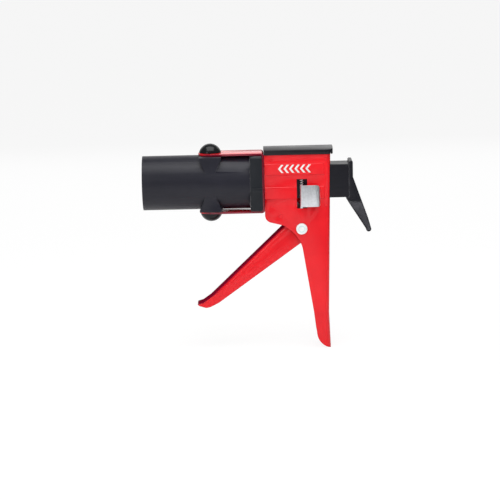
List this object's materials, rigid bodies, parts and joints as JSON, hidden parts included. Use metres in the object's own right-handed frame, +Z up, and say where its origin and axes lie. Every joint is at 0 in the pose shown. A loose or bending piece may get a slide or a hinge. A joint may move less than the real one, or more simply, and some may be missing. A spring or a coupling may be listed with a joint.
{
  "type": "caulking gun",
  "caption": "Short ratchet caulking gun: swinging cartridge sleeve in a yoke, trigger and handle, telescoping ram with pusher, pull hook and release tab.",
  "frame": {"origin": "where the barrel axis meets the vertical axis that the cartridge sleeve swings on", "axes": "+X along the barrel towards the pull hook, muzzle towards -X, +Z up, the release tab on the -Y side"},
  "size_m": [0.2258, 0.0552, 0.2063],
  "materials": {
    "sleeve_black": "satin",
    "knob_black": "semi-gloss",
    "nylon": "matte",
    "red_paint": "gloss",
    "zinc_fastener": "plated",
    "collar_black": "satin",
    "ram_black": "satin black",
    "zinc_steel": "plated",
    "pusher_steel": "plated",
    "hook_black": "satin black",
    "guide_plastic": "matte",
    "cap_black": "satin",
    "button_white": "gloss",
    "spring_steel": "bright wire",
    "pawl_steel": "hardened",
    "tab_zinc": "zinc plated"
  },
  "bodies": {
    "frame": {"housing_frame": "red_paint", "top_cap": "cap_black", "yoke": "red_paint", "yoke_screws": "zinc_fastener", "collar": "collar_black", "collar_screws": "zinc_fastener", "guide_rivets": "red_paint", "ram_guide_front": "guide_plastic", "ram_guide_rear": "guide_plastic", "trigger_pivot_pin": "zinc_fastener", "pivot_caps": "button_white", "trigger_return_spring": "spring_steel", "trigger_stop_pin": "red_paint", "release_lever_pin": "red_paint", "lever_spacer": "nylon", "release_spring": "spring_steel"},
    "sleeve": {"cartridge_sleeve": "sleeve_black", "trunnion_knob_upper": "knob_black", "trunnion_knob_lower": "knob_black", "trunnion_washer_upper": "nylon", "trunnion_washer_lower": "nylon"},
    "ram": {"ram_outer": "ram_black", "brake_plunger": "zinc_fastener", "pull_handle": "hook_black", "pull_handle_screws": "zinc_fastener"},
    "pusher": {"ram_inner": "zinc_steel", "pusher_disc": "pusher_steel", "pusher_screw": "zinc_fastener"},
    "trigger": {"trigger": "red_paint", "trigger_bush": "nylon", "drive_pawl_pin": "zinc_fastener", "drive_pawl_spring": "spring_steel"},
    "drive_pawl": {"drive_pawl": "pawl_steel"},
    "release_lever": {"release_lever": "tab_zinc"}
  },
  "joints": [
    {"name": "sleeve_swing", "type": "hinge", "parent": "frame", "child": "sleeve", "pos_m": [0, 0, 0], "axis": [0, 0, 1], "range_deg": [-90, 0]},
    {"name": "ram_slide", "type": "slide", "parent": "frame", "child": "ram", "axis": [-1, 0, 0], "range_m": [-0.048, 0]},
    {"name": "pusher_slide", "type": "slide", "parent": "frame", "child": "pusher", "axis": [-1, 0, 0], "range_m": [0, 0.064]},
    {"name": "trigger_squeeze", "type": "hinge", "parent": "frame", "child": "trigger", "pos_m": [0.0893, 0, -0.0468], "axis": [0, -1, 0], "range_deg": [0, 32], "stiffness_Nm_per_rad": 0.6, "springref_deg": -28.65, "deforming": ["trigger_return_spring"]},
    {"name": "drive_pawl_tilt", "type": "hinge", "parent": "trigger", "child": "drive_pawl", "pos_m": [0.09204, 0, -0.03124], "axis": [0, -1, 0], "range_deg": [-32, 0]},
    {"name": "release_lift", "type": "hinge", "parent": "frame", "child": "release_lever", "pos_m": [0.103, 0, -0.024], "axis": [0, 1, 0], "range_deg": [0, 16], "stiffness_Nm_per_rad": 0.3, "springref_deg": -22.92, "deforming": ["release_spring"]}
  ],
  "couplings": [
    {"joint": "drive_pawl_tilt", "follows": "trigger_squeeze", "ratio": -1}
  ]
}
